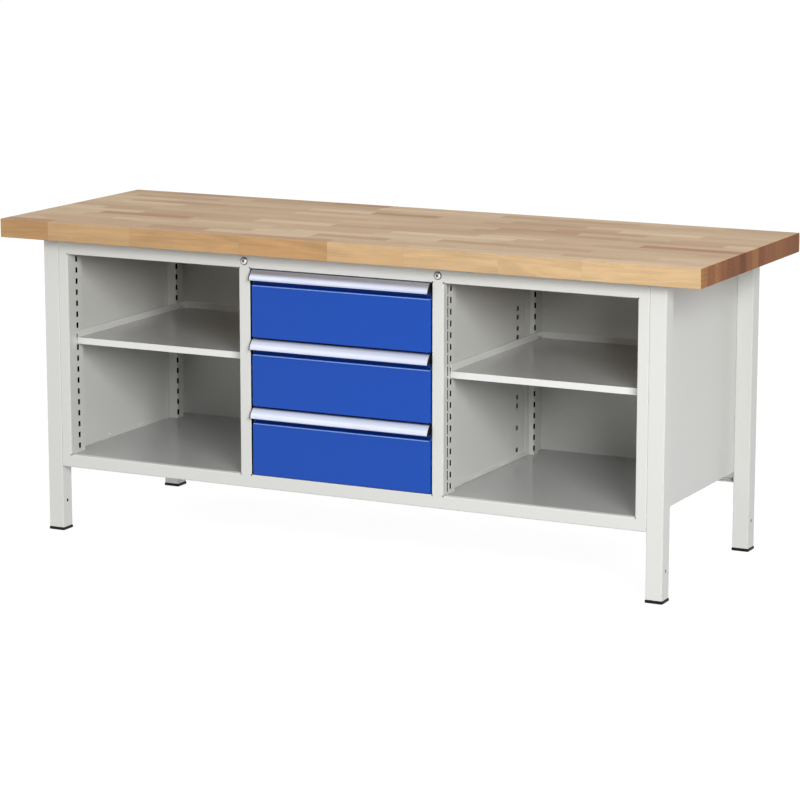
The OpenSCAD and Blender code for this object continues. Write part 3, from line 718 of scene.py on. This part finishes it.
def build_front(n):
    """Folded front: bottom return, face, shoulder and riser in one sheet, with two side returns."""
    low, high = box_mm(f"drawer_{n}_front")
    _, handle_high = box_mm(f"drawer_{n}_handle")
    half = SHEET / 2
    side_gap = BEND + half
    face_y = low.y + half
    rear_y = high.y - SHEET
    face_top = low.z + FACE_HEIGHT
    riser_y = handle_high.y - half
    path = [
        (rear_y, low.z + half),
        (face_y, low.z + half),
        (face_y, face_top),
        (riser_y, face_top + SHOULDER_RISE),
        (riser_y, high.z - half),
    ]
    bm = bmesh.new()
    outline = sheet_outline(with_bends(path, BEND), SHEET)
    prism(bm, outline, low.x + side_gap, high.x - side_gap)
    # Painted highlight on the faces along the top bend, painted shade on the shoulder and riser above it
    for face in bm.faces:
        spot = face.calc_center_median() / MM
        if spot.z > face_top - BEND and abs(spot.x) < 1:
            face.material_index = BEND_HIGHLIGHT if spot.y < low.y + BEND else RECESS_SHADE
    for side in (low.x, high.x):
        inward = 1 if side == low.x else -1
        plan = [
            (side + inward * side_gap, face_y),
            (side + inward * half, face_y),
            (side + inward * half, rear_y),
        ]
        outline = sheet_outline(with_bends(plan, RETURN_BEND), SHEET)
        prism(bm, outline, low.z + side_gap, face_top - half, axis="Z")
    name = f"drawer_{n}_front"
    # The front's blue, its painted highlight along the bend and its painted shade in the recess
    coats = [BLUE_COAT, BLUE_BEND_HIGHLIGHT, BLUE_RECESS_SHADE]
    add_piece(f"{name}_panel", bm, coats, f"drawer_{n}", [name], edge=FOLD_EDGE)


def handle_curve(n):
    """Centre, radius and end angles of the handle's outer curve, and its bead's centre, in (y, z)."""
    front_low, _ = box_mm(f"drawer_{n}_front")
    _, high = box_mm(f"drawer_{n}_handle")
    top = Vector((front_low.y, high.z))
    lip = top - Vector((HANDLE_REACH, HANDLE_DROP))
    chord = (lip - top).length
    radius = ((chord / 2) ** 2 + HANDLE_BULGE**2) / (2 * HANDLE_BULGE)
    inward = Vector((HANDLE_DROP, -HANDLE_REACH)).normalized()
    centre = (top + lip) / 2 + inward * (radius - HANDLE_BULGE)
    start = math.degrees(math.atan2(top.y - centre.y, top.x - centre.x))
    end = math.degrees(math.atan2(lip.y - centre.y, lip.x - centre.x))
    bead = lip + Vector((BEAD_R - BEAD_TUCK, 0))
    return centre, radius, start, end, bead


def build_handle(n):
    """Extruded strip: top plate, curved face, rolled bead and the leg that hooks on the riser."""
    low, high = box_mm(f"drawer_{n}_handle")
    centre, radius, start, end, bead = handle_curve(n)
    plate_low = high.z - HANDLE_PLATE
    leg_rear = high.y - SHEET
    inner = radius - HANDLE_WALL
    inner_top = math.degrees(math.asin((plate_low - centre.y) / inner))
    outline = [(high.y, high.z)]
    outline += arc(centre, radius, start, end - OUTER_STOP, 22)
    outline += arc(bead, BEAD_R, *BEAD_ARC, 18)
    outline += arc(centre, inner, end - INNER_STOP, 180 - inner_top, 16)
    outline += [
        (leg_rear - HANDLE_WALL, plate_low),
        (leg_rear - HANDLE_WALL, plate_low - HOOK_DROP),
        (leg_rear, plate_low - HOOK_DROP),
        (leg_rear, plate_low),
        (high.y, plate_low),
    ]
    bm = bmesh.new()
    prism(bm, outline, low.x, high.x)
    name = f"drawer_{n}_handle"
    body = f"drawer_{n}"
    add_piece(f"{name}_strip", bm, [ALUMINIUM], body, [name], edge=FOLD_EDGE)


def build_caps(n):
    """Moulded end caps that stand a little proud of the handle's section."""
    low, high = box_mm(f"drawer_{n}_end_caps")
    handle_low, handle_high = box_mm(f"drawer_{n}_handle")
    centre, radius, start, end, bead = handle_curve(n)
    top = handle_high.z + CAP_PROUD
    leg_rear = handle_high.y - SHEET
    outline = [(handle_high.y, top)]
    outline += arc(centre, radius + CAP_PROUD, start + CAP_START, end - CAP_STOP, 18)
    outline += arc(bead, BEAD_R + CAP_PROUD, *CAP_BEAD_ARC, 10)
    outline += [
        (leg_rear - CAP_SETBACK, bead.y + CAP_FOOT),
        (leg_rear - CAP_SETBACK, handle_high.z - HANDLE_PLATE),
        (handle_high.y, handle_high.z - HANDLE_PLATE),
    ]
    bm = bmesh.new()
    prism(bm, outline, low.x, handle_low.x)
    prism(bm, outline, handle_high.x, high.x)
    name = f"drawer_{n}_end_caps"
    body = f"drawer_{n}"
    add_piece(f"{name}_moulding", bm, [PLASTIC], body, [name], edge=CAP_EDGE)


# ---- Small fittings ----


SHANK_R = 4.0
SHANK_L = 14.0
# The flange under a bolt's dome: its height, and the height and width of its bevelled rim
FLANGE_H = 1.3
RIM_H = 0.7
RIM_W = 0.6
# Width of the groove between flange and dome
DOME_INSET = 2.2
DOME_STEPS = 9
DOME_STEP = 10
SOCKET_HALF = 2.7
SOCKET_LIP = 0.1
SOCKET_DEPTH = 3.4
HEAD_STEPS = 36
# Round the axis: the reach of the painted shade in the groove into the dome, short of the rim and up, and
# the radius of the black painted shade in the socket
GROOVE_SHADE_REACH = (0.8, 0.3, 0.4)
SOCKET_SHADE_R = 3.0
BOLT_EDGE = 0.15
# Places on the bolts' mesh of the painted shade in the groove and the black painted shade in the socket,
# after the zinc of the rest
SHADED_GROOVE, SHADED_SOCKET = 1, 2


def build_bolt_heads():
    """Flanged dome heads with a hexagon socket, and the shanks behind them."""
    low, high = box_mm("frame_bolts")
    head_r = (high.z - low.z) / 2
    z = (low.z + high.z) / 2
    frame_y = box_mm("front_frame")[0].y
    head_h = frame_y - low.y
    dome_r = head_r - DOME_INSET
    profile = [(SHANK_R, -SHANK_L), (SHANK_R, 0.0), (head_r, 0.0)]
    profile += [(head_r, RIM_H), (head_r - RIM_W, FLANGE_H)]
    for i in range(DOME_STEPS):
        angle = math.radians(DOME_STEP * i)
        profile.append((dome_r * math.cos(angle), FLANGE_H + (head_h - FLANGE_H) * math.sin(angle)))
    top = profile[-1][1]
    bm = bmesh.new()
    for side in (-1, 1):
        x = side * (high.x - head_r)

        def place(u, v, w, x=x):
            return Vector((x + u, frame_y - w, z + v)) * MM

        rings = turned_rings(bm, profile, place, HEAD_STEPS)
        for height in (top + SOCKET_LIP, top - SOCKET_DEPTH):
            ring = hexagon_ring(SOCKET_HALF, HEAD_STEPS)
            rings.append([bm.verts.new(place(u, v, height)) for u, v in ring])
        join_rings(bm, rings)
    into_dome, short_of_rim, up = GROOVE_SHADE_REACH
    # Painted shade: the groove between flange and dome gets darker zinc, the socket black
    for face in bm.faces:
        spot = face.calc_center_median() / MM
        off_axis = math.hypot(abs(spot.x) - (high.x - head_r), spot.z - z)
        beside = dome_r - into_dome < off_axis < head_r - short_of_rim
        if beside and spot.y < frame_y - FLANGE_H + up:
            face.material_index = SHADED_GROOVE
        if off_axis < SOCKET_SHADE_R:
            face.material_index = SHADED_SOCKET
    # Zinc, the groove's painted shade and the socket's black painted shade
    coats = [ZINC, ZINC_SHADE, PLASTIC]
    add_piece("frame_bolt_heads", bm, coats, "bench", ["frame_bolts"], edge=BOLT_EDGE)


def hexagon_ring(half_width, steps):
    """Points round a hexagon, as many as a circle of that many steps."""
    points = []
    for i in range(steps):
        angle = math.tau * i / steps
        sector = (angle + math.pi / 6) % (math.pi / 3) - math.pi / 6
        radius = half_width / math.cos(sector)
        points.append((radius * math.cos(angle), radius * math.sin(angle)))
    return points


# Wall of the leg and a little play, and the width and height of the plug's tapered end
PLUG_INSET = 2.1
PLUG_TAPER = (1.5, 2.0)
FOOT_EDGE = 0.2


def build_foot(corner):
    """Foot cap: flared base with a soft tread, and its plug inside the leg.

    Each point of the profile is half the cap's width, its height and its corner radius.
    """
    low, high = box_mm(f"foot_{corner}")
    leg_low, leg_high = box_mm(f"leg_{corner}")
    centre = (low + high) / 2
    flare = (high.x - low.x) / 2
    leg = (leg_high.x - leg_low.x) / 2
    plug = leg - PLUG_INSET
    shoulder = leg_low.z
    profile = [
        (flare - 1.2, 0.0, 3.5),
        (flare - 0.2, 0.4, 4.0),
        (flare, 1.2, 4.2),
        (flare, 0.7 * shoulder, 4.2),
        (flare - 0.3, 0.82 * shoulder, 4.0),
        (leg + 0.3, 0.95 * shoulder, 3.6),
        (leg - 0.4, shoulder, 3.2),
        (plug, shoulder, 1.2),
        (plug, high.z - PLUG_TAPER[1], 1.2),
        (plug - PLUG_TAPER[0], high.z, 1.0),
    ]
    bm = bmesh.new()
    rings = []
    for half, z, radius in profile:
        ring = round_square_ring(half, radius)
        rings.append([bm.verts.new(Vector((centre.x + u, centre.y + v, z)) * MM) for u, v in ring])
    join_rings(bm, rings)
    name = f"foot_{corner}"
    add_piece(f"{name}_cap", bm, [PLASTIC], "bench", [name], edge=FOOT_EDGE)


# Pressed joints: their (radius, height) points, where each pair stands along the wall, how far apart its
# two are, and their height above the floor on the divider and above the lower end of the side panel
CLINCH_PROFILE = ((4.6, -0.4), (4.6, 0.3), (4.0, 0.9), (3.0, 0.9), (2.2, 0.3), (1.2, 0.1))
CLINCH_PLACES = (-73, 100)
CLINCH_SPACING = 20
DIVIDER_CLINCH_RISE = 7
WALL_CLINCH_RISE = 10
CLINCH_STEPS = 18


def build_clinches():
    """Pairs of pressed joints along the foot of the walls of the two open bays."""
    floor_z = box_mm("floor_right")[1].z
    divider_x = box_mm("divider_right")[1].x
    wall, _ = box_mm("side_panel_right")
    spots = []
    for middle in CLINCH_PLACES:
        for y in (middle - CLINCH_SPACING / 2, middle + CLINCH_SPACING / 2):
            spots.append((divider_x, y, floor_z + DIVIDER_CLINCH_RISE, 1))
            spots.append((wall.x, y, wall.z + WALL_CLINCH_RISE, -1))
    bm = bmesh.new()
    for side in (-1, 1):
        for x, y, z, way in spots:

            def place(u, v, w, side=side, x=x, y=y, z=z, way=way):
                return Vector((side * (x + way * w), y + u, z + v)) * MM

            lathe(bm, CLINCH_PROFILE, place, CLINCH_STEPS)
    add_piece("clinch_joints", bm, [GREY_COAT], "bench")


# ---- CAD nodes that are shown as they are ----


CAD_EDGE = 0.35


def dress_cad_nodes():
    """Gives every shown CAD node its material and soft edges."""
    for name, obj in frame["nodes"].items():
        if obj.hide_render:
            continue
        obj.data.materials.clear()
        material = SLOT_MATERIALS[SLOT_OF[name]]
        # Floors and shelves take the coat whose upward faces carry painted shade
        if name.startswith(("floor_", "shelf_left", "shelf_right")):
            material = TRAY_SHADED_COAT
        # Grey pieces outside the drawers take the coat with painted shade in its hollows
        elif material is GREY_COAT and not name.startswith("drawer_"):
            material = FRAME_SHADED_COAT
        obj.data.materials.append(material)
        soften(obj, CAD_EDGE)


# ---- Studio ----


FLOOR_REACH = 150
FLOOR_ROUGHNESS = 0.9
FLOOR_GREY = (0.13, 0.13, 0.13, 1)
FLOOR_GLOW = 0.92
WHITE = (1, 1, 1, 1)


def build_floor():
    """Wide pale floor, mostly bright by itself, so that it reads as studio white."""
    mesh = bpy.data.meshes.new("studio_floor")
    corners = [(x * FLOOR_REACH, y * FLOOR_REACH, 0) for x, y in ((-1, -1), (1, -1), (1, 1), (-1, 1))]
    mesh.from_pydata(corners, [], [(0, 1, 2, 3)])
    g = Graph("studio_floor", FLOOR_ROUGHNESS)
    g.shader.inputs["Specular IOR Level"].default_value = 0.0
    g.shader.inputs["Emission Color"].default_value = WHITE
    g.shader.inputs["Emission Strength"].default_value = FLOOR_GLOW
    cloud = g.noise(g.place(), scale=0.6, detail=2.0)
    mesh.materials.append(g.finish(g.shade(FLOOR_GREY, g.levels(cloud, *NOISE_SPAN, 0.99, 1.0))))
    floor = bpy.data.objects.new("studio_floor", mesh)
    bpy.context.scene.collection.objects.link(floor)
    floor.visible_diffuse = False


# Height of the direction looked in, from -1 straight down to 1 straight up, and how bright it is there
SKY_LEVELS = ((-1.0, 0.46), (-0.02, 0.46), (0.04, 0.13), (0.42, 0.13), (0.62, 0.85), (1.0, 0.85))
# Multiples of that along an axis: the directions between which it changes, and its value at either end,
# left and right, then in front and behind
SKY_GAINS = (
    ("X", (-0.6, 0.6), (1.35, 0.65)),
    ("Y", (0.3, 0.8), (1.0, 1.8)),
)


def build_world():
    """White surroundings: half bright below, dim at eye level, bright overhead and behind."""
    world = bpy.data.worlds.new("studio")
    world.use_nodes = True
    tree = world.node_tree
    background = tree.nodes["Background"]
    coordinates = tree.nodes.new("ShaderNodeTexCoord")
    parts = tree.nodes.new("ShaderNodeSeparateXYZ")
    height = tree.nodes.new("ShaderNodeMapRange")
    ramp = tree.nodes.new("ShaderNodeValToRGB")
    height.inputs["From Min"].default_value = -1.0
    tree.links.new(coordinates.outputs["Generated"], parts.inputs["Vector"])
    tree.links.new(parts.outputs["Z"], height.inputs["Value"])
    tree.links.new(height.outputs["Result"], ramp.inputs["Fac"])
    tree.links.new(ramp.outputs["Color"], background.inputs["Color"])
    brightest = max(level for _, level in SKY_LEVELS)
    for _ in SKY_LEVELS[2:]:
        ramp.color_ramp.elements.new(0.5)
    for element, (z, level) in zip(ramp.color_ramp.elements, SKY_LEVELS):
        element.position = (z + 1) / 2
        element.color = (level / brightest, level / brightest, level / brightest, 1)
    strength = None
    for axis, reach, gains in SKY_GAINS:
        span = tree.nodes.new("ShaderNodeMapRange")
        for key, number in zip(RANGE_KEYS, (*reach, *gains)):
            span.inputs[key].default_value = number
        tree.links.new(parts.outputs[axis], span.inputs["Value"])
        product = tree.nodes.new("ShaderNodeMath")
        product.operation = "MULTIPLY"
        tree.links.new(span.outputs["Result"], product.inputs[0])
        if strength is None:
            product.inputs[1].default_value = brightest
        else:
            tree.links.new(strength, product.inputs[1])
        strength = product.outputs["Value"]
    tree.links.new(strength, background.inputs["Strength"])
    bpy.context.scene.world = world


# Name, place and size in metres, and power in watts of each softbox, and what they all point at
SOFTBOXES = (
    ("key", (4.34, -5.0, 2.78), (2.1, 2.3), 340),
    ("fill", (-2.32, -4.01, 2.86), (4.0, 1.6), 29),
)
LIT_POINT = (0, 0, 0.5)


def add_softbox(name, place, size, power):
    """A rectangular lamp turned to the middle of the bench."""
    light = bpy.data.lights.new(name, "AREA")
    light.shape = "RECTANGLE"
    light.size, light.size_y = size
    light.energy = power
    obj = bpy.data.objects.new(name, light)
    obj.location = place
    obj.rotation_euler = (Vector(LIT_POINT) - Vector(place)).to_track_quat("-Z", "Y").to_euler()
    bpy.context.scene.collection.objects.link(obj)


# Lens and sensor in millimetres, place in metres, and how far the camera looks down and to the left
SENSOR_W = 36
LENS = 137.34
CAMERA_PLACE = (3.5971, -7.0991, 1.9402)
CAMERA_DIP = 11.073
CAMERA_TURN = 26.744
FAR_END = 500


def add_camera():
    """Camera in front of the right-hand end and above it, with a long lens, as in the photograph."""
    data = bpy.data.cameras.new("camera")
    data.sensor_width = SENSOR_W
    data.lens = LENS
    data.clip_end = FAR_END
    camera = bpy.data.objects.new("camera", data)
    camera.location = CAMERA_PLACE
    camera.rotation_euler = (math.radians(90 - CAMERA_DIP), 0, math.radians(CAMERA_TURN))
    bpy.context.scene.collection.objects.link(camera)
    bpy.context.scene.camera = camera


add_camera()
build_floor()
build_world()
for softbox in SOFTBOXES:
    add_softbox(*softbox)
bpy.context.scene.view_settings.view_transform = "Standard"

build_worktop()
for number in (1, 2, 3):
    build_front(number)
    build_handle(number)
    build_caps(number)
build_bolt_heads()
for corner_name in ("front_left", "front_right", "rear_left", "rear_right"):
    build_foot(corner_name)
build_clinches()
dress_cad_nodes()
